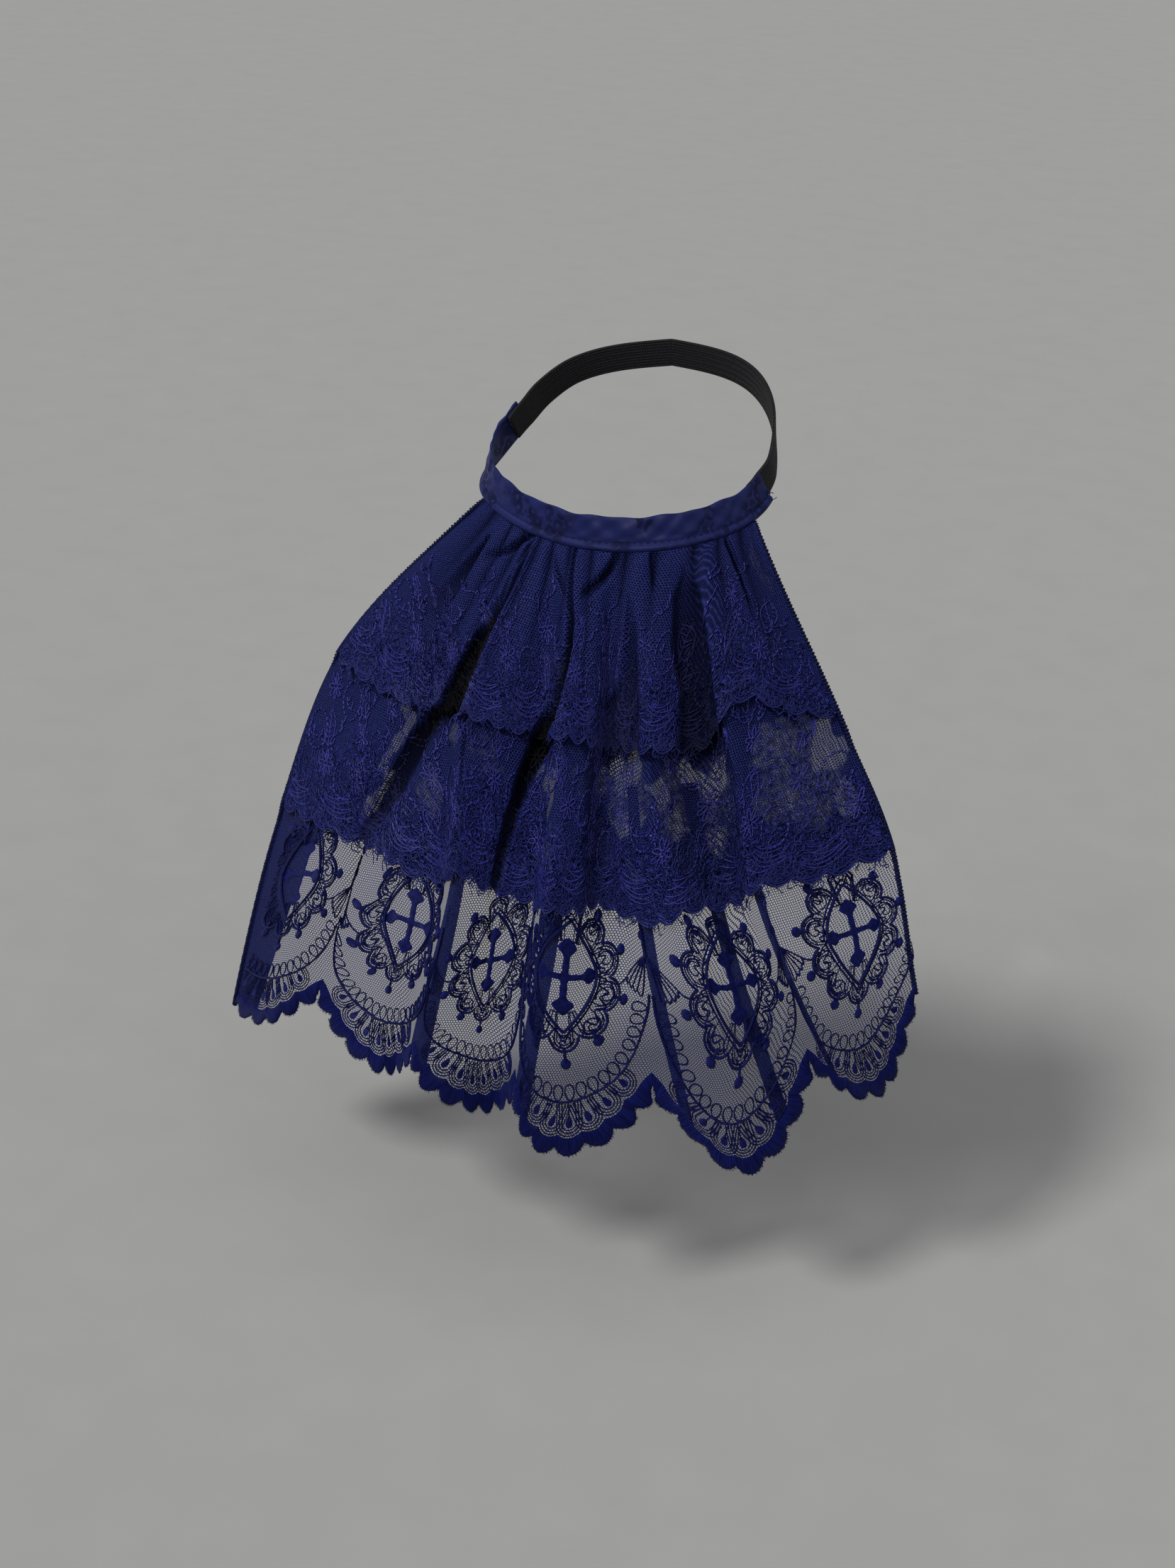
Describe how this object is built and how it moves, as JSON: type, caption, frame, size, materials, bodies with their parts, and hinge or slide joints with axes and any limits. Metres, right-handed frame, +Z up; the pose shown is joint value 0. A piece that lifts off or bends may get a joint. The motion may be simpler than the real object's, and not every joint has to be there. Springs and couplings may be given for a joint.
{
  "type": "lace bib collar",
  "caption": "Detachable bib collar: satin neckband with an elastic back and gathered lace tiers that hang over the chest.",
  "frame": {"origin": "centre of the neck opening, where the neckband sits on the neck", "axes": "+Z up, the bib hangs on the -Y side, +X towards the wearer's left"},
  "size_m": [0.3091, 0.2092, 0.296],
  "materials": {
    "satin": "navy satin with a soft sheen",
    "elastic": "black ribbed woven elastic",
    "lace": "navy net with raised embroidery",
    "bound_edge": "dark navy overlocked thread"
  },
  "bodies": {
    "root": {"neckband": "satin", "elastic_strap": "elastic", "top_tier": "lace", "middle_tier": "lace", "bottom_tier": "lace", "left_edge": "bound_edge", "right_edge": "bound_edge"}
  },
  "joints": []
}
